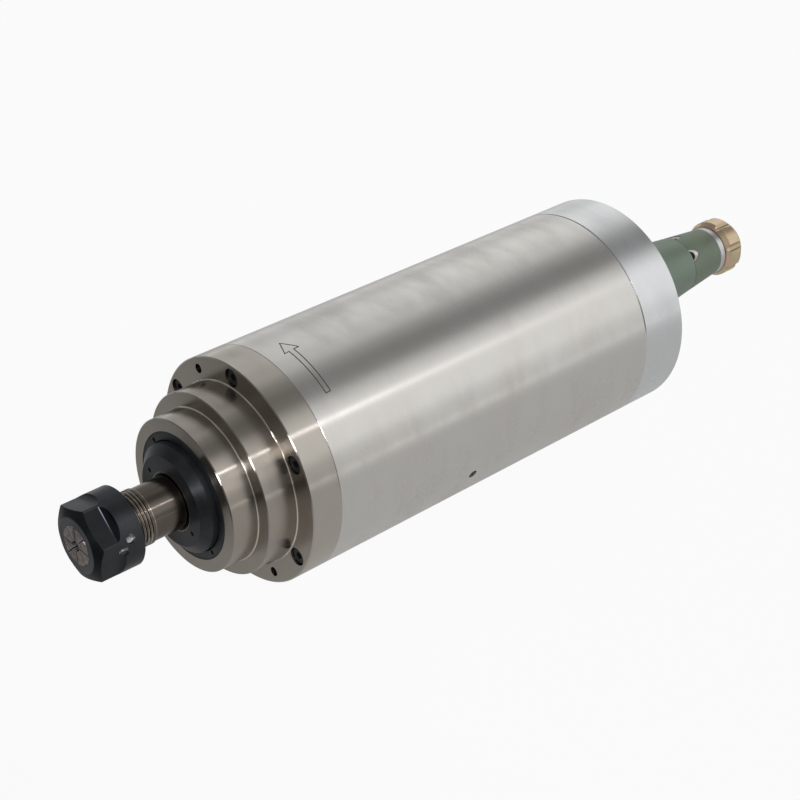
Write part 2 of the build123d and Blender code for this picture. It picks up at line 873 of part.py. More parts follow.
def coupling_ring():
    bore = socket_radius + sleeve_gap
    foot = body_length + socket_flange_length + coupling_foot_gap
    lip = coupling_rear - coupling_lip_length
    ring = turned([
        (coupling_front, socket_flange_radius + sleeve_gap),
        (coupling_front, coupling_foot_radius),
        (coupling_rear, coupling_rear_radius),
        (coupling_rear, neck_outer_radius + sleeve_gap),
        (lip, neck_outer_radius + sleeve_gap),
        (lip, bore),
        (foot, bore),
        (foot, socket_flange_radius + sleeve_gap),
    ])
    return at_connector(ring)


def notch(angle):
    """The tool for a scoop in the shell's front edge, deepest at the seam and run out behind it."""
    slope = math.degrees(math.atan(notch_depth / notch_length - coupling_taper))
    tool = Pos(-cut_past, notch_radius, 0) * Rot(0, 90, 0) * Cylinder(
        notch_radius, 2 * notch_length, align=(Align.CENTER, Align.CENTER, Align.MIN))
    deepest = Pos(shell_front, coupling_rear_radius - notch_depth, 0)
    return Rot(angle, 0, 0) * deepest * Rot(0, 0, slope) * tool


def plug_shell():
    lip = coupling_rear - coupling_lip_length
    collar_rear = lip - seam_gap
    collar_front = collar_rear - collar_length
    throat = shell_front + shell_throat_length
    shell = turned([
        (sleeve_front, insert_radius + seat_gap),
        (sleeve_front, sleeve_radius),
        (collar_front, sleeve_radius),
        (collar_front, collar_radius),
        (collar_rear, collar_radius),
        (collar_rear, neck_outer_radius),
        (shell_front, neck_outer_radius),
        (shell_front, coupling_rear_radius),
        (shell_rear, shell_rear_radius),
        (shell_rear, neck_outer_radius),
        (neck_rear - edge_break, neck_outer_radius),
        (neck_rear, neck_outer_radius - edge_break),
        (neck_rear, neck_bore_radius),
        (throat, neck_bore_radius),
        (throat, insert_radius + seat_gap),
    ])
    for angle in notch_angles:
        shell -= notch(angle)
    return at_connector(shell)


def plug_insulator():
    disc = rod(sleeve_front + seam_gap, shell_front + shell_throat_length, insert_radius)
    bore = pin_radius + running_gap + contact_wall + seat_gap
    for y, z in pin_places():
        disc -= rod(sleeve_front, shell_rear, bore, y, z)
    return at_connector(disc)


def plug_contacts():
    start = sleeve_front + seam_gap
    inner = pin_radius + running_gap
    contacts = []
    for y, z in pin_places():
        contact = rod(start, start + contact_length, inner + contact_wall, y, z)
        bore_end = socket_face - pin_tip_inset + cut_past
        contacts.append(at_connector(contact - rod(start, bore_end, inner, y, z)))
    return contacts


def cable_grommet():
    end = neck_rear + grommet_proud
    start = end - grommet_length
    return at_connector(tube(start, end, neck_bore_radius - seat_gap, grommet_bore_radius))


def gland_washer():
    start = shell_rear + seat_gap
    end = shell_rear + washer_length
    bore = neck_outer_radius + sleeve_gap
    return at_connector(turned([
        (start, bore),
        (start, shell_rear_radius - edge_break / 2),
        (start + edge_break / 2, shell_rear_radius),
        (end - edge_break / 2, shell_rear_radius),
        (end, shell_rear_radius - edge_break / 2),
        (end, bore),
    ]))


def cable_clamp_nut():
    bore = neck_outer_radius + sleeve_gap
    wall = clamp_nut_rear - clamp_nut_wall
    nut = turned([
        (clamp_nut_front, bore),
        (clamp_nut_front, clamp_nut_radius - clamp_nut_front_step),
        (clamp_nut_front + clamp_nut_front_slope, clamp_nut_radius),
        (clamp_nut_rear - clamp_nut_rear_slope, clamp_nut_radius),
        (clamp_nut_rear, clamp_nut_radius - clamp_nut_rear_step),
        (clamp_nut_rear, clamp_nut_hole_radius),
        (wall, clamp_nut_hole_radius),
        (wall, bore),
    ])
    flute_circle = clamp_nut_radius - clamp_nut_flute_depth + clamp_nut_flute_radius
    for i in range(clamp_nut_flute_count):
        y, z = polar(flute_circle, clamp_nut_flute_angle + 360 * i / clamp_nut_flute_count)
        nut -= rod(clamp_nut_front, clamp_nut_rear, clamp_nut_flute_radius, y, z)
    return at_connector(nut)


pieces = {
    "front_bearing_housing": front_bearing_housing(),
    "flange_screws": flange_screws(),
    "front_lock_ring": front_lock_ring(),
    "front_bearing_outer_rings": bearing_rings(
        front_places(), front_bearing_width, front_outer_radius, front_outer_ring_bore, front_pitch_radius,
        front_ball_radius),
    "front_bearing_inner_rings": bearing_rings(
        front_places(), front_bearing_width, front_inner_ring_radius, front_journal_radius + seat_gap,
        front_pitch_radius, front_ball_radius),
    "front_bearing_balls": bearing_balls(
        front_places(), front_bearing_width, front_pitch_radius, front_ball_radius, front_ball_count),
    "front_bearing_cages": bearing_cages(
        front_places(), front_bearing_width, front_pitch_radius, front_ball_radius, front_ball_count),
    "front_outer_spacer": front_outer_spacer(),
    "front_inner_spacer": front_inner_spacer(),
    "body_tube": body_tube(),
    "body_set_screw": body_set_screw(),
    "water_jacket": water_jacket(),
    "jacket_seals": jacket_seals(),
    "stator_core": stator_core(),
    "stator_windings": stator_windings(),
    "motor_leads": motor_leads(),
    "rear_bearing_housing": rear_bearing_housing(),
    "rear_bearing_outer_rings": bearing_rings(
        rear_places(), rear_bearing_width, rear_outer_radius, rear_outer_ring_bore, rear_pitch_radius,
        rear_ball_radius),
    "rear_bearing_inner_rings": bearing_rings(
        rear_places(), rear_bearing_width, rear_inner_ring_radius, rear_journal_radius + seat_gap,
        rear_pitch_radius, rear_ball_radius),
    "rear_bearing_balls": bearing_balls(
        rear_places(), rear_bearing_width, rear_pitch_radius, rear_ball_radius, rear_ball_count),
    "rear_bearing_cages": bearing_cages(
        rear_places(), rear_bearing_width, rear_pitch_radius, rear_ball_radius, rear_ball_count),
    "preload_spring": preload_spring(),
    "rear_cap": rear_cap(),
    "rear_cap_screws": rear_cap_screws(),
    "water_nipples": [water_nipple(angle) for angle in port_angles],
    "nipple_seals": [nipple_seal(angle) for angle in port_angles],
    "connector_socket": connector_socket(),
    "socket_insulator": socket_insulator(),
    "socket_pins": socket_pins(),
    "spindle_shaft": spindle_shaft(),
    "flinger_disc": flinger_disc(),
    "rotor_core": rotor_core(),
    "rotor_cage": rotor_cage(),
    "rear_shaft_nut": rear_shaft_nut(),
    "collet": collet(),
    "collet_nut": collet_nut(),
    "coupling_ring": coupling_ring(),
    "plug_shell": plug_shell(),
    "plug_insulator": plug_insulator(),
    "plug_contacts": plug_contacts(),
    "cable_grommet": cable_grommet(),
    "gland_washer": gland_washer(),
    "cable_clamp_nut": cable_clamp_nut(),
}

os.makedirs("parts", exist_ok=True)
for name, piece in pieces.items():
    solid = Compound(children=list(piece)) if isinstance(piece, list) else piece
    export_step(solid, "parts/" + name + ".step")
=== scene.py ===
import json
import math

import bpy
from mathutils import Matrix, Vector


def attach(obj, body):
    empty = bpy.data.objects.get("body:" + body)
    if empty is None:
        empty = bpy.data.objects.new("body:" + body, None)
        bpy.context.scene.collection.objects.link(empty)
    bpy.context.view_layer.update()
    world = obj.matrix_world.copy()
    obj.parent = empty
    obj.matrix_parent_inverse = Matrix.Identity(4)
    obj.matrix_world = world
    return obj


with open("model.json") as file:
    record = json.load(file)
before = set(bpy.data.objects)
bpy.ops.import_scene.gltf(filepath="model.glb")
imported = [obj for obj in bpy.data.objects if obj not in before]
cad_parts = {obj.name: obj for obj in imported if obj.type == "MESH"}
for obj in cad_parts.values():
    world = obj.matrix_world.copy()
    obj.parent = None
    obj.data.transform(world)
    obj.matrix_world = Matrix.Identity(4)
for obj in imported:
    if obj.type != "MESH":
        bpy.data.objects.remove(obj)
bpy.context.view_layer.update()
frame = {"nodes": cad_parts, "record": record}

# Camera: the photograph's angle, aimed at a point near the middle of the object
AIM = Vector((0.089729, 0.0, -0.002934))
AZIMUTH = math.radians(-41.588)
ELEVATION = math.radians(32.017)
DISTANCE = 0.79376
FIELD = math.radians(24.97)

# Sizes of the model that the looks depend on, in metres
BODY_RADIUS = 0.050
NOSE_ROOTS = [(0.0, 0.040), (-0.0145, 0.0335)]
NOSE_ROOT_FILLET = 0.0005
CONNECTOR_Y = -0.021985
CONNECTOR_Z = 0.018448
SHELL_FRONT = 0.2437
SHELL_RADIUS = 0.01362
SHELL_TAPER = 0.1087
SCOOP_REACH = 0.008
SCOOP_SHADOW_DEPTH = 0.0009
CLAMP_NUT_RADIUS = 0.0133
CLAMP_NUT_FLUTES_START = 0.2700
NUT_FRONT = -0.0776
NUT_REAR = -0.0568
NUT_FLAT_END = -0.0687
NUT_COVE = 0.0030
NUT_RADIUS = 0.0171
NUT_FACE_RADIUS = 0.0118
NUT_CONE_LENGTH = 0.0024
BALANCE_HOLE_RADIUS = 0.0020
BALANCE_HOLE_FLOOR = 0.0130
THREAD_REAR = -0.0480
THREAD_RADIUS = 0.0120
NECK_RADIUS = 0.0115
FLINGER_FACE = -0.0330
FLINGER_MOUTH = (0.0124, 0.0129)
COLLET_BORE_RADIUS = 0.0025

# How far each balance hole lies behind the nut's front, and its angle in degrees
BALANCE_HOLES = [(0.0149, 162.4), (0.0115, 177.2)]

# Angles in degrees between which the nut's flats and coves get painted shade, and where the painted glint
# line at the flat's end starts, begins to fade and ends
PAINTED_SHADE_SECTOR = (102.5, 162.0)
PAINTED_GLINT_LINE = (104.0, 108.0, 152.0)


# Materials

class Tree:
    """A material's node tree, with short calls that add and join nodes."""

    def __init__(self, name):
        self.material = bpy.data.materials.new(name)
        self.material.use_nodes = True
        self.nodes = self.material.node_tree.nodes
        self.links = self.material.node_tree.links
        self.shader = self.nodes["Principled BSDF"]
        self.place = self.nodes.new("ShaderNodeTexCoord").outputs["Object"]

    def put(self, value, socket):
        """Joins an output to a socket, or sets the socket to a number, a vector or a colour."""
        if isinstance(value, bpy.types.NodeSocket):
            self.links.new(value, socket)
        elif isinstance(value, (tuple, list)) and len(value) == 3 and socket.type == "RGBA":
            socket.default_value = (*value, 1.0)
        else:
            socket.default_value = value

    def math(self, operation, a, b=0.0, c=0.0):
        node = self.nodes.new("ShaderNodeMath")
        node.operation = operation
        for value, socket in zip((a, b, c), node.inputs):
            self.put(value, socket)
        return node.outputs[0]

    def vector(self, operation, a, b=(0.0, 0.0, 0.0)):
        node = self.nodes.new("ShaderNodeVectorMath")
        node.operation = operation
        self.put(a, node.inputs[0])
        self.put(b, node.inputs[1])
        return node.outputs["Value"] if operation in ("LENGTH", "DOT_PRODUCT") else node.outputs["Vector"]

    def split(self, vector):
        node = self.nodes.new("ShaderNodeSeparateXYZ")
        self.put(vector, node.inputs[0])
        return node.outputs

    def join(self, x, y, z):
        node = self.nodes.new("ShaderNodeCombineXYZ")
        for value, socket in zip((x, y, z), node.inputs):
            self.put(value, socket)
        return node.outputs[0]

    def noise(self, vector, scale, detail=2.0, rough=0.5):
        node = self.nodes.new("ShaderNodeTexNoise")
        self.put(vector, node.inputs["Vector"])
        node.inputs["Scale"].default_value = scale
        node.inputs["Detail"].default_value = detail
        node.inputs["Roughness"].default_value = rough
        return node.outputs["Fac"]

    def spread(self, value, low, high, to_low=0.0, to_high=1.0):
        """A smooth step from to_low to to_high while value goes from low to high."""
        node = self.nodes.new("ShaderNodeMapRange")
        node.interpolation_type = "SMOOTHSTEP"
        for item, socket in zip((value, low, high, to_low, to_high), node.inputs):
            self.put(item, socket)
        return node.outputs[0]

    def mix(self, share, a, b):
        """Colour a where share is 0, and colour b where it is 1."""
        node = self.nodes.new("ShaderNodeMix")
        node.data_type = "RGBA"
        self.put(share, node.inputs[0])
        self.put(a, node.inputs[6])
        self.put(b, node.inputs[7])
        return node.outputs[2]

    def within(self, value, low, high, soft):
        """1 where value lies between low and high, 0 outside, with soft edges."""
        return self.math("MULTIPLY", self.spread(value, low - soft, low + soft),
                         self.spread(value, high - soft, high + soft, 1.0, 0.0))

    def radius(self, y=0.0, z=0.0):
        """Distance from the line along X through y, z."""
        moved = self.vector("SUBTRACT", self.place, (0.0, y, z))
        return self.vector("LENGTH", self.vector("MULTIPLY", moved, (0.0, 1.0, 1.0)))

    def angle(self, y=0.0, z=0.0):
        """Angle in degrees about the line along X through y, z, from +Y towards +Z."""
        parts = self.split(self.vector("SUBTRACT", self.place, (0.0, y, z)))
        return self.math("DEGREES", self.math("ARCTAN2", parts[2], parts[1]))

    def turned(self, y=0.0, z=0.0, about=0.02):
        """Coordinates in which a noise becomes the rings that a lathe or a grinding wheel leaves."""
        parts = self.split(self.place)
        round_the_axis = self.math("MULTIPLY", self.math("ADD", parts[1], parts[2]), about)
        return self.join(parts[0], self.radius(y, z), round_the_axis)

    def bump(self, height, distance, strength=1.0, under=None):
        node = self.nodes.new("ShaderNodeBump")
        node.inputs["Strength"].default_value = strength
        node.inputs["Distance"].default_value = distance
        self.put(height, node.inputs["Height"])
        if under is not None:
            self.put(under, node.inputs["Normal"])
        return node.outputs[0]

    def tangent(self):
        node = self.nodes.new("ShaderNodeTangent")
        node.direction_type = "RADIAL"
        node.axis = "X"
        return node.outputs[0]

    def finish(self, **values):
        """Sets the shader's sockets, by their names with spaces as underscores."""
        for name, value in values.items():
            self.put(value, self.shader.inputs[name.replace("_", " ")])
        return self.material


def shade(colour, share):
    return tuple(channel * share for channel in colour)


def ground_metal(name, colour, roughness, stain, stretch=0.7, tint=None):
    """Turned or ground metal: fine rings round the axis, cloudy stains and smears that change the gloss.

    tint takes the tree and the base colour, and returns the base colour with what is special to a piece.
    """
    t = Tree(name)
    ring = t.noise(t.turned(), 2600.0, 3.0, 0.7)
    broad = t.noise(t.turned(about=0.4), 160.0, 2.0, 0.5)
    cloud = t.noise(t.place, 26.0, 4.0, 0.55)
    smear = t.noise(t.vector("MULTIPLY", t.place, (1.0, 0.35, 0.35)), 80.0, 3.0, 0.5)
    base = t.mix(t.spread(cloud, 0.35, 0.75, 0.0, 0.5), colour, stain)
    base = t.mix(t.spread(ring, 0.2, 0.8, 0.0, 0.10), base, shade(colour, 0.75))
    base = t.mix(t.spread(smear, 0.50, 0.8, 0.0, 0.10), base, shade(stain, 0.82))
    if tint is not None:
        base = tint(t, base)
    gloss = t.math("ADD", t.spread(smear, 0.3, 0.75, -0.03, 0.045), t.spread(broad, 0.3, 0.7, -0.02, 0.02))
    t.finish(Base_Color=base, Metallic=1.0, Roughness=t.math("ADD", gloss, roughness),
             Anisotropic=stretch, Anisotropic_Rotation=0.25, Tangent=t.tangent(),
             Normal=t.bump(ring, 2.5e-7))
    return t


def ground_rim_and_root_highlight(t, base):
    """The flange's rim is ground together with the body, and the roots of the nose's steps are painted
    bright: a painted highlight.
    """
    x = t.split(t.place)[0]
    # Painted highlight: each root's fillet is painted bright
    for place, radius in NOSE_ROOTS:
        root = t.math("MULTIPLY", t.within(x, place - NOSE_ROOT_FILLET, place, 0.00008),
                      t.within(t.radius(), radius, radius + NOSE_ROOT_FILLET, 0.00008))
        base = t.mix(root, base, (0.86, 0.79, 0.70))
    return t.mix(t.spread(t.radius(), BODY_RADIUS - 0.0008, BODY_RADIUS - 0.0003), base, (0.54, 0.505, 0.45))


def shaft_painted_light(t, base):
    """The thread's grooves painted pale as painted light against their shade, and a thin bright edge where
    the thread ends as a painted highlight.
    """
    x = t.split(t.place)[0]
    outside = t.spread(t.radius(), NECK_RADIUS - 0.0003, NECK_RADIUS - 0.0002)
    # Painted highlight: a thin bright edge where the thread ends
    edge = t.math("MULTIPLY", t.within(x, THREAD_REAR - 0.0002, THREAD_REAR + 0.0001, 0.0001), outside)
    # Painted light: the thread's grooves are painted pale so that their shade does not show
    sunk = t.spread(t.radius(), THREAD_RADIUS - 0.00045, THREAD_RADIUS - 0.00005, 1.0, 0.0)
    grooves = t.math("MULTIPLY", sunk, t.spread(x, THREAD_REAR - 0.0003, THREAD_REAR - 0.0002, 1.0, 0.0))
    base = t.mix(grooves, base, (0.72, 0.66, 0.58))
    return t.mix(edge, base, (0.50, 0.45, 0.37))


def worn_collet_and_bore_glint(t, base):
    """Mottled grey and brown on the collet's face, and a bore painted bright: a painted glint."""
    blotch = t.noise(t.place, 620.0, 4.0, 0.65)
    base = t.mix(t.spread(blotch, 0.42, 0.64, 0.0, 0.72), base, (0.26, 0.21, 0.18))
    base = t.mix(t.spread(blotch, 0.62, 0.74, 0.0, 0.6), base, (0.80, 0.76, 0.72))
    # Painted glint: the bore is painted bright
    return t.mix(t.spread(t.radius(), COLLET_BORE_RADIUS + 0.00006, COLLET_BORE_RADIUS + 0.00012, 1.0, 0.0),
                 base, (0.86, 0.85, 0.84))


def black_oxide(name, colour, roughness, bare=None):
    """Blackened steel: a thin dark skin with oil clouds, and what bare adds: bare metal and painted glints.

    bare takes the tree, and returns the share of bare steel and painted glints, their colour and how bright
    the skin is painted, with painted light and shade in it.
    """
    t = Tree(name)
    cloud = t.noise(t.place, 70.0, 4.0, 0.6)
    speck = t.noise(t.place, 900.0, 3.0, 0.6)
    ring = t.noise(t.turned(), 1800.0, 2.0, 0.6)
    base = t.mix(t.spread(cloud, 0.35, 0.7), colour, shade(colour, 1.6))
    base = t.mix(t.spread(speck, 0.62, 0.78, 0.0, 0.25), base, (0.16, 0.155, 0.15))
    metal, shine = 0.55, 0.5
    if bare is not None:
        share, steel, skin = bare(t)
        base = t.mix(share, t.vector("MULTIPLY", base, t.join(skin, skin, skin)), steel)
        metal = t.spread(share, 0.0, 1.0, 0.55, 1.0)
        shine = t.math("MULTIPLY", skin, 0.5)
    gloss = t.math("ADD", t.spread(cloud, 0.3, 0.7, -0.06, 0.07), roughness)
    t.finish(Base_Color=base, Metallic=metal, Roughness=gloss, Specular_IOR_Level=shine,
             Anisotropic=0.75, Anisotropic_Rotation=0.25, Tangent=t.tangent(),
             Normal=t.bump(ring, 5e-7, 0.6, t.bump(speck, 4e-7, 0.5)))
    return t


def drilled_with_painted_light(t):
    """Bare steel in the balance holes, a painted glint at the end of a flat, and a bronze line round the
    disc's mouth as a painted highlight.

    The skin is painted paler on the nut's face as painted light. It is painted darker on its cone, on a flat
    and in its cove, as painted shade.
    """
    x = t.split(t.place)[0]
    radius = t.radius()
    turn = t.angle()
    on_nut = t.spread(x, NUT_REAR + 0.0012, NUT_REAR + 0.0022, 1.0, 0.0)
    hole = 0.0
    for back, degrees in BALANCE_HOLES:
        across = t.math("MULTIPLY", t.math("SUBTRACT", turn, degrees), NUT_RADIUS * math.pi / 180)
        along = t.math("SUBTRACT", x, NUT_FRONT + back)
        away = t.vector("LENGTH", t.join(across, along, 0.0))
        inside = t.spread(away, BALANCE_HOLE_RADIUS - 0.00005, BALANCE_HOLE_RADIUS + 0.0001, 1.0, 0.0)
        hole = t.math("MAXIMUM", hole, inside)
    hole = t.math("MULTIPLY", hole, t.within(radius, BALANCE_HOLE_FLOOR, NUT_RADIUS - 0.0003, 0.0001))
    hole = t.math("MULTIPLY", hole, on_nut)
    # A painted glint: a bluish bright line along the end of a flat
    line_start, line_fades, line_end = PAINTED_GLINT_LINE
    along_line = t.math("MULTIPLY", t.spread(turn, line_start, line_start + 1.0),
                        t.spread(turn, line_fades, line_end, 0.9, 0.0))
    end = t.math("MULTIPLY", t.within(x, NUT_FLAT_END - 0.0001, NUT_FLAT_END + 0.0003, 0.0001), along_line)
    # A painted highlight: a bronze line round the disc's mouth edge
    mouth = t.math("MULTIPLY", t.within(x, FLINGER_FACE - 0.0002, FLINGER_FACE + 0.0002, 0.0001),
                   t.within(radius, *FLINGER_MOUTH, 0.0001))
    steel = t.mix(mouth, (0.60, 0.59, 0.58), (0.40, 0.35, 0.24))
    steel = t.mix(t.spread(end, 0.0, 0.1), steel, (0.42, 0.52, 0.66))
    # Painted shade on the flats, in their coves and on the cone, and painted light on the nut's face
    sunk = t.spread(radius, NUT_RADIUS - 0.0002, NUT_RADIUS - 0.0001, 1.0, 0.0)
    flat = t.within(x, NUT_FRONT + 0.0002, NUT_FLAT_END, 0.0001)
    cove = t.within(x, NUT_FLAT_END + 0.0002, NUT_FLAT_END + NUT_COVE + 0.0001, 0.0002)
    face = t.spread(x, NUT_FRONT + 0.0001, NUT_FRONT + 0.0002, 1.0, 0.0)
    slope = (NUT_RADIUS - NUT_FACE_RADIUS) / NUT_CONE_LENGTH
    cone_radius = t.math("ADD", NUT_FACE_RADIUS, t.math("MULTIPLY", t.math("SUBTRACT", x, NUT_FRONT), slope))
    cone_end = NUT_FRONT + NUT_CONE_LENGTH
    on_cone = t.math("MULTIPLY", t.spread(t.math("SUBTRACT", radius, cone_radius), -0.0002, -0.0001),
                     t.spread(x, cone_end, cone_end + 0.0001, 1.0, 0.0))
    painted_shade = t.math("ADD", t.math("MULTIPLY", flat, 0.5), t.math("MULTIPLY", cove, 0.8))
    painted_shade = t.math("MULTIPLY", t.math("MULTIPLY", painted_shade, sunk), t.within(turn, *PAINTED_SHADE_SECTOR, 0.5))
    dark = t.math("MAXIMUM", painted_shade, t.math("MULTIPLY", on_cone, 0.5))
    skin = t.math("SUBTRACT", t.math("ADD", 1.0, t.math("MULTIPLY", face, 1.8)), dark)
    return t.math("MAXIMUM", t.math("MAXIMUM", hole, mouth), end), steel, skin


def moulded(name, colour, roughness):
    """Moulded plastic or rubber: fine grain and faint flow clouds."""
    t = Tree(name)
    cloud = t.noise(t.place, 60.0, 3.0, 0.5)
    grain = t.noise(t.place, 1400.0, 3.0, 0.6)
    base = t.mix(t.spread(cloud, 0.3, 0.7), shade(colour, 0.82), shade(colour, 1.15))
    t.finish(Base_Color=base, Roughness=t.spread(grain, 0.3, 0.7, roughness - 0.08, roughness + 0.1),
             Normal=t.bump(grain, 1.5e-6, 0.5))
    return t


def laminations(name):
    """Stacked sheets of electrical steel: a fine step at every sheet."""
    t = Tree(name)
    parts = t.split(t.place)
    sheet = t.math("PINGPONG", t.math("MULTIPLY", parts[0], 2000.0), 0.5)
    rust = t.noise(t.place, 120.0, 4.0, 0.6)
    base = t.mix(t.spread(rust, 0.55, 0.8, 0.0, 0.5), (0.33, 0.33, 0.34), (0.24, 0.15, 0.09))
    t.finish(Base_Color=base, Metallic=0.9, Roughness=0.42, Normal=t.bump(sheet, 4e-5, 0.5))
    return t


def windings(name):
    """Enamelled copper wire under varnish: strands that lie round the bore."""
    t = Tree(name)
    across = t.math("ADD", t.radius(), t.split(t.place)[0])
    strand = t.math("PINGPONG", t.math("MULTIPLY", across, 900.0), 0.5)
    lie = t.noise(t.place, 160.0, 3.0, 0.6)
    base = t.mix(t.spread(lie, 0.3, 0.75), (0.45, 0.14, 0.05), (0.62, 0.27, 0.10))
    t.finish(Base_Color=base, Metallic=0.75, Roughness=0.35, Coat_Weight=0.4, Coat_Roughness=0.15,
             Normal=t.bump(strand, 1.2e-4, 0.6))
    return t


def green_plating(name):
    """Olive green chromate on aluminium, satin, with scoops milled through it at the seam, painted black as
    painted shadow where they are deep.
    """
    t = Tree(name)
    centre = (CONNECTOR_Y, CONNECTOR_Z)
    cloud = t.noise(t.place, 110.0, 4.0, 0.6)
    ring = t.noise(t.turned(*centre), 1500.0, 3.0, 0.6)
    smear = t.noise(t.place, 420.0, 5.0, 0.65)
    base = t.mix(t.spread(cloud, 0.3, 0.72), (0.200, 0.250, 0.178), (0.235, 0.290, 0.210))
    base = t.mix(t.spread(smear, 0.55, 0.8, 0.0, 0.3), base, (0.28, 0.32, 0.24))
    base = t.mix(t.spread(ring, 0.55, 0.85, 0.0, 0.22), base, (0.15, 0.195, 0.145))
    x = t.split(t.place)[0]
    base = t.mix(t.spread(x, SHELL_FRONT, SHELL_FRONT + 0.0001, 0.6, 0.0), base, (0.265, 0.350, 0.285))
    drop = t.math("MULTIPLY", t.math("SUBTRACT", x, SHELL_FRONT), SHELL_TAPER)
    skin = t.math("SUBTRACT", SHELL_RADIUS, drop)
    depth = t.math("SUBTRACT", skin, t.radius(*centre))
    on_shell = t.math("MULTIPLY", t.spread(x, SHELL_FRONT, SHELL_FRONT + 0.0001),
                      t.spread(x, SHELL_FRONT + SCOOP_REACH, SHELL_FRONT + SCOOP_REACH + 0.001, 1.0, 0.0))
    milled = t.math("MULTIPLY", t.spread(depth, 0.00015, 0.0005), on_shell)
    # Painted shadow: deep in the scoops the floor is painted black
    scoop_painted_shadow = t.math("MULTIPLY", t.spread(depth, SCOOP_SHADOW_DEPTH, SCOOP_SHADOW_DEPTH + 0.0003), on_shell)
    base = t.mix(milled, base, (0.90, 0.87, 0.83))
    base = t.mix(scoop_painted_shadow, base, (0.015, 0.016, 0.014))
    t.finish(Base_Color=base, Metallic=t.math("ADD", t.math("MULTIPLY", milled, 0.4), 0.3),
             Roughness=t.spread(cloud, 0.3, 0.7, 0.38, 0.5), Normal=t.bump(ring, 8e-7, 0.7))
    return t


def yellow_zinc(name):
    """Yellow chromate on zinc: a film that drifts between gold and pink, and is greener in the flutes."""
    t = Tree(name)
    centre = (CONNECTOR_Y, CONNECTOR_Z)
    drift = t.noise(t.place, 90.0, 2.0, 0.5)
    patch = t.noise(t.place, 45.0, 2.0, 0.5)
    ramp = t.nodes.new("ShaderNodeValToRGB")
    stops = [(0.0, (0.72, 0.55, 0.36)), (0.3, (0.76, 0.55, 0.41)), (0.48, (0.70, 0.58, 0.35)),
             (0.62, (0.63, 0.55, 0.34)), (0.78, (0.76, 0.54, 0.40)), (1.0, (0.72, 0.58, 0.38))]
    ramp.color_ramp.elements[0].position = stops[0][0]
    ramp.color_ramp.elements[0].color = (*stops[0][1], 1.0)
    ramp.color_ramp.elements[1].position = stops[-1][0]
    ramp.color_ramp.elements[1].color = (*stops[-1][1], 1.0)
    for position, colour in stops[1:-1]:
        ramp.color_ramp.elements.new(position).color = (*colour, 1.0)
    film = t.math("ADD", t.spread(drift, 0.25, 0.75, 0.0, 0.7), t.spread(patch, 0.3, 0.7, 0.0, 0.3))
    t.put(film, ramp.inputs[0])
    ring = t.noise(t.turned(*centre), 1400.0, 3.0, 0.6)
    sunk = t.spread(t.radius(*centre), CLAMP_NUT_RADIUS - 0.0003, CLAMP_NUT_RADIUS - 0.0001, 1.0, 0.0)
    fluted = t.spread(t.split(t.place)[0], CLAMP_NUT_FLUTES_START - 0.0001, CLAMP_NUT_FLUTES_START + 0.0001)
    flute = t.math("MULTIPLY", sunk, fluted)
    base = t.mix(t.math("MULTIPLY", flute, 0.6), ramp.outputs[0], (0.44, 0.41, 0.25))
    t.finish(Base_Color=base, Metallic=0.9, Roughness=t.spread(patch, 0.3, 0.7, 0.27, 0.38),
             Normal=t.bump(ring, 7e-7, 0.8))
    return t


STEEL = (0.74, 0.725, 0.69)
materials = {
    "body_steel": ground_metal("body_steel", STEEL, 0.25, (0.72, 0.69, 0.64), stretch=0.88),
    "nose_steel": ground_metal("nose_steel", (0.47, 0.43, 0.38), 0.19, (0.41, 0.36, 0.31), stretch=1.0,
                               tint=ground_rim_and_root_highlight),
    "cap_aluminium": ground_metal("cap_aluminium", (0.79, 0.805, 0.81), 0.27, (0.75, 0.765, 0.775)),
    "shaft_steel": ground_metal("shaft_steel", (0.165, 0.142, 0.122), 0.15, (0.120, 0.098, 0.078),
                                stretch=0.3, tint=shaft_painted_light),
    "collet_steel": ground_metal("collet_steel", (0.66, 0.60, 0.56), 0.40, (0.48, 0.41, 0.37),
                                 tint=worn_collet_and_bore_glint),
    "jacket_aluminium": ground_metal("jacket_aluminium", (0.74, 0.745, 0.75), 0.36, (0.66, 0.66, 0.65)),
    "bearing_steel": ground_metal("bearing_steel", (0.66, 0.66, 0.66), 0.16, (0.60, 0.59, 0.57)),
    "nipple_brass": ground_metal("nipple_brass", (0.66, 0.50, 0.24), 0.27, (0.52, 0.36, 0.16)),
    "socket_steel": ground_metal("socket_steel", (0.62, 0.62, 0.61), 0.30, (0.54, 0.53, 0.50)),
    "contact_brass": ground_metal("contact_brass", (0.80, 0.62, 0.30), 0.24, (0.70, 0.50, 0.22)),
    "pale_washer": ground_metal("pale_washer", (0.73, 0.72, 0.76), 0.34, (0.68, 0.66, 0.71)),
    "screw_steel": black_oxide("screw_steel", (0.030, 0.030, 0.034), 0.34),
    "black_oxide": black_oxide("black_oxide", (0.034, 0.037, 0.041), 0.36, drilled_with_painted_light),
    "cage_plastic": moulded("cage_plastic", (0.34, 0.20, 0.09), 0.45),
    "seal_rubber": moulded("seal_rubber", (0.022, 0.022, 0.023), 0.62),
    "lead_sleeve": moulded("lead_sleeve", (0.30, 0.06, 0.04), 0.50),
    "insulator": moulded("insulator", (0.05, 0.05, 0.052), 0.48),
    "lamination_steel": laminations("lamination_steel"),
    "copper": windings("copper"),
    "green_shell": green_plating("green_shell"),
    "yellow_zinc": yellow_zinc("yellow_zinc"),
}

slot_of = {row["node"]: row["material_slot"] for row in frame["record"]["subparts"]}
for node, obj in frame["nodes"].items():
    for place in obj.material_slots:
        place.material = materials[slot_of[node]].material


# Etched arrow on the body

def on_body(x, degrees, lift):
    angle = math.radians(degrees)
    radius = BODY_RADIUS + lift
    return (x, radius * math.cos(angle), radius * math.sin(angle))


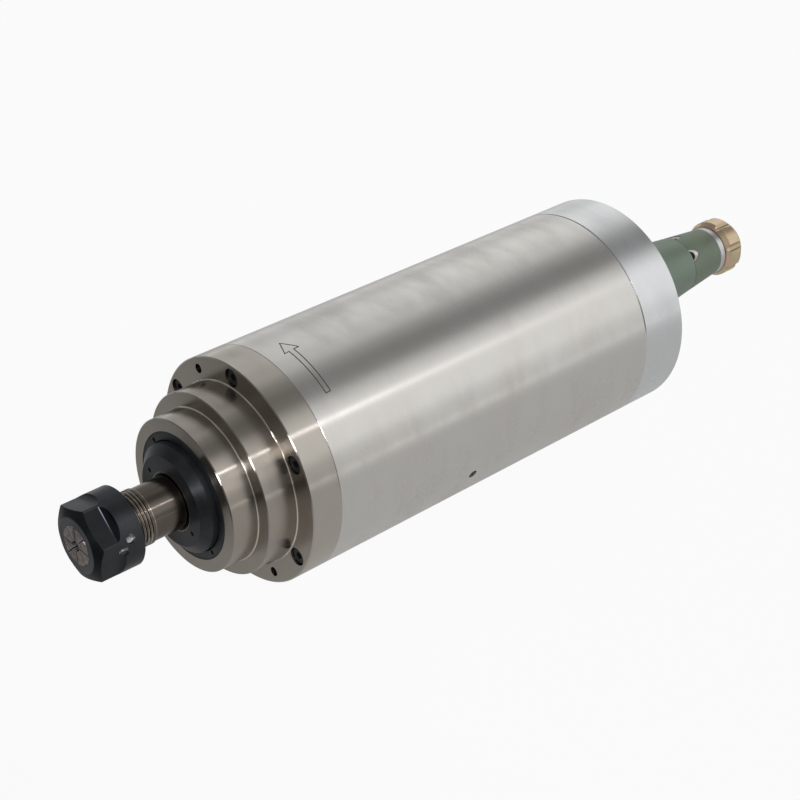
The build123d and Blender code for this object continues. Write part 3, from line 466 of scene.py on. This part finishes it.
def etched_outline(name, corners, width, lift, step=0.0008):
    """A thin ribbon on the body along a closed outline, given as x in metres and angle in degrees."""
    degree = BODY_RADIUS * math.pi / 180
    flat = [Vector((x, a * degree)) for x, a in corners]
    vertices, faces = [], []
    for i, start in enumerate(flat):
        end = flat[(i + 1) % len(flat)]
        along = (end - start).normalized()
        side = Vector((-along.y, along.x)) * width / 2
        count = max(2, int((end - start).length / step))
        first = len(vertices)
        for j in range(count + 1):
            point = (start - along * width / 2).lerp(end + along * width / 2, j / count)
            for edge in (point - side, point + side):
                vertices.append(on_body(edge.x, edge.y / degree, lift))
        for j in range(count):
            a = first + 2 * j
            faces.append((a, a + 1, a + 3, a + 2))
    mesh = bpy.data.meshes.new(name)
    mesh.from_pydata(vertices, [], faces)
    obj = bpy.data.objects.new(name, mesh)
    bpy.context.scene.collection.objects.link(obj)
    return obj


ARROW = [(0.0258, 88.4), (0.0303, 96.0), (0.0276, 96.3), (0.0273, 125.1), (0.0249, 125.3), (0.0250, 96.6),
         (0.0226, 96.9)]
etch = Tree("etched_mark")
burnt = etch.noise(etch.place, 1500.0, 3.0, 0.6)
etch.finish(Base_Color=etch.mix(etch.spread(burnt, 0.3, 0.7), (0.07, 0.06, 0.05), (0.16, 0.14, 0.12)),
            Metallic=0.4, Roughness=0.6)
arrow = etched_outline("direction_arrow", ARROW, 0.00042, 0.00003)
arrow.data.materials.append(etch.material)
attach(arrow, "housing")


# Floor, world, lights and camera

FLOOR_Z = -0.0503
PAPER_GLOW = 0.94
PAPER_IN_METAL = (0.24, 0.75)


def stage_plane(name, size, z):
    mesh = bpy.data.meshes.new(name)
    corners = [(-size, -size, z), (size, -size, z), (size, size, z), (-size, size, z)]
    mesh.from_pydata(corners, [], [(0, 1, 2, 3)])
    obj = bpy.data.objects.new(name, mesh)
    bpy.context.scene.collection.objects.link(obj)
    return obj


# A sheet of paper, painted grey where it runs out in front of the nose: painted shade for the nose's
# reflections
floor = stage_plane("floor", 6.0, FLOOR_Z)
paper = Tree("floor_paper")
near_nose = paper.spread(paper.split(paper.place)[0], -0.20, 0.02)
paper.finish(Base_Color=paper.mix(near_nose, (0.16, 0.155, 0.15), (0.74, 0.735, 0.73)), Roughness=0.9,
             Specular_IOR_Level=0.1)
white = paper.nodes.new("ShaderNodeEmission")
white.inputs["Color"].default_value = (1.0, 1.0, 1.0, 1.0)
blend = paper.nodes.new("ShaderNodeMixShader")
ray = paper.nodes.new("ShaderNodeLightPath")
seen = paper.math("MAXIMUM", ray.outputs["Is Camera Ray"], ray.outputs["Is Transmission Ray"])
# In reflections the paper glows white, more the farther it lies and not in front of the nose: a painted
# reflection
far = paper.vector("LENGTH", paper.place)
mirrored = paper.math("MULTIPLY", paper.spread(far, 0.3, 1.2, *PAPER_IN_METAL), near_nose)
mirrored = paper.math("MULTIPLY", mirrored, ray.outputs["Is Glossy Ray"])
paper.put(paper.math("MAXIMUM", paper.math("MULTIPLY", seen, PAPER_GLOW), mirrored), blend.inputs[0])
paper.links.new(paper.shader.outputs[0], blend.inputs[1])
paper.links.new(white.outputs[0], blend.inputs[2])
paper.links.new(blend.outputs[0], paper.nodes["Material Output"].inputs["Surface"])
floor.data.materials.append(paper.material)


class Sky(Tree):
    """The world's node tree, with the same short calls."""

    def __init__(self, name):
        self.world = bpy.data.worlds.new(name)
        self.world.use_nodes = True
        self.nodes = self.world.node_tree.nodes
        self.links = self.world.node_tree.links
        self.place = self.nodes.new("ShaderNodeTexCoord").outputs["Generated"]


# Long pale screens stand along both sides, and the ceiling between them is dark.
# Brightness by the angle about the shaft, from +Y over the top (90) to -Y (180) and below (270).
SCREENS = [(0, 0.72), (4, 0.66), (13, 0.68), (22, 0.84), (32, 0.94), (50, 0.91), (68, 0.62), (80, 0.34),
           (94, 0.22), (106, 0.28), (118, 0.66), (128, 0.88), (160, 0.90), (184, 0.72), (215, 0.50),
           (270, 0.42), (330, 0.60), (345, 0.92), (352, 0.96), (360, 0.72)]
FRONT_ROOM = 0.165

# The parts of the far and the near screen that fade towards the nose, in turns about the shaft
FAR_END = (0.02, 0.08, 0.17, 0.22)
NEAR_END = (0.450, 0.535)
sky = Sky("studio")
x, y, z = sky.split(sky.place)
turn = sky.math("FRACT", sky.math("ADD", sky.math("DIVIDE", sky.math("ARCTAN2", z, y), 2 * math.pi), 1.0))
ramp = sky.nodes.new("ShaderNodeValToRGB")
ramp.color_ramp.interpolation = "LINEAR"
first, last = SCREENS[0], SCREENS[-1]
for stop, (degrees, level) in ((ramp.color_ramp.elements[0], first), (ramp.color_ramp.elements[1], last)):
    stop.position = degrees / 360
    stop.color = (level, level, level, 1.0)
for degrees, level in SCREENS[1:-1]:
    ramp.color_ramp.elements.new(degrees / 360).color = (level, level, level, 1.0)
sky.put(turn, ramp.inputs[0])
# The screens fade towards the nose, each over part of its height, and the room beyond the nose is dark
rising = sky.spread(turn, *FAR_END[:2], 0.3, 1.0)
falling = sky.spread(turn, *FAR_END[2:], 1.0, 0.0)
far_end = sky.math("MULTIPLY", rising, falling)
far_end = sky.math("MULTIPLY", far_end, sky.spread(x, 0.38, 0.55, 0.7, 0.0))
near_end = sky.math("MULTIPLY", sky.within(turn, *NEAR_END, 0.02), sky.spread(x, 0.47, 0.54, 0.42, 0.0))
screens = sky.mix(sky.math("ADD", far_end, near_end), ramp.outputs[0], (0.0, 0.0, 0.0))
room = (FRONT_ROOM, FRONT_ROOM, FRONT_ROOM)
sky.put(sky.mix(sky.spread(x, -0.75, 0.15), room, screens), sky.nodes["Background"].inputs["Color"])
backdrop = sky.nodes.new("ShaderNodeBackground")
backdrop.inputs["Color"].default_value = (1.0, 1.0, 1.0, 1.0)
either = sky.nodes.new("ShaderNodeMixShader")
path = sky.nodes.new("ShaderNodeLightPath")
seen = sky.math("MAXIMUM", path.outputs["Is Camera Ray"], path.outputs["Is Transmission Ray"])
sky.put(seen, either.inputs[0])
sky.links.new(sky.nodes["Background"].outputs[0], either.inputs[1])
sky.links.new(backdrop.outputs[0], either.inputs[2])
sky.links.new(either.outputs[0], sky.nodes["World Output"].inputs["Surface"])
bpy.context.scene.world = sky.world


def tube_lamp(name, start, end, aim, width, power, colour):
    """A narrow lamp that runs from start to end and shines towards aim."""
    start, end, aim = Vector(start), Vector(end), Vector(aim)
    data = bpy.data.lights.new(name, "AREA")
    data.shape = "RECTANGLE"
    data.size = width
    data.size_y = (end - start).length
    data.energy = power
    data.color = colour
    obj = bpy.data.objects.new(name, data)
    bpy.context.scene.collection.objects.link(obj)
    middle = (start + end) / 2
    along = (end - start).normalized()
    away = (middle - aim).normalized()
    across = along.cross(away).normalized()
    away = across.cross(along)
    turned = Matrix((across, along, away)).transposed().to_4x4()
    obj.matrix_world = Matrix.Translation(middle) @ turned


tube_lamp("white_tube", (0.33, -0.643, 0.650), (0.42, -0.620, 0.664), (0.0, 0.0, 0.0), 0.05, 0.13,
          (0.93, 0.92, 1.0))
tube_lamp("warm_tube", (0.43, -0.676, 0.607), (0.60, -0.622, 0.653), (0.05, 0.0, 0.0), 0.014, 0.0052,
          (1.0, 0.60, 0.25))
tube_lamp("front_softbox", (-0.68, -0.33, 0.23), (-0.68, -0.36, 0.35), (-0.02, 0.0, 0.0), 0.16, 1.35,
          (0.93, 0.96, 1.0))

camera = bpy.data.cameras.new("camera")
camera.sensor_width = 36.0
camera.lens = camera.sensor_width / 2 / math.tan(FIELD / 2)
eye = bpy.data.objects.new("camera", camera)
bpy.context.scene.collection.objects.link(eye)
back = Vector((math.sin(AZIMUTH) * math.cos(ELEVATION), -math.cos(AZIMUTH) * math.cos(ELEVATION),
               math.sin(ELEVATION)))
eye.location = AIM + back * DISTANCE
eye.rotation_euler = (-back).to_track_quat("-Z", "Y").to_euler()
bpy.context.scene.camera = eye
bpy.context.scene.view_settings.view_transform = "Standard"
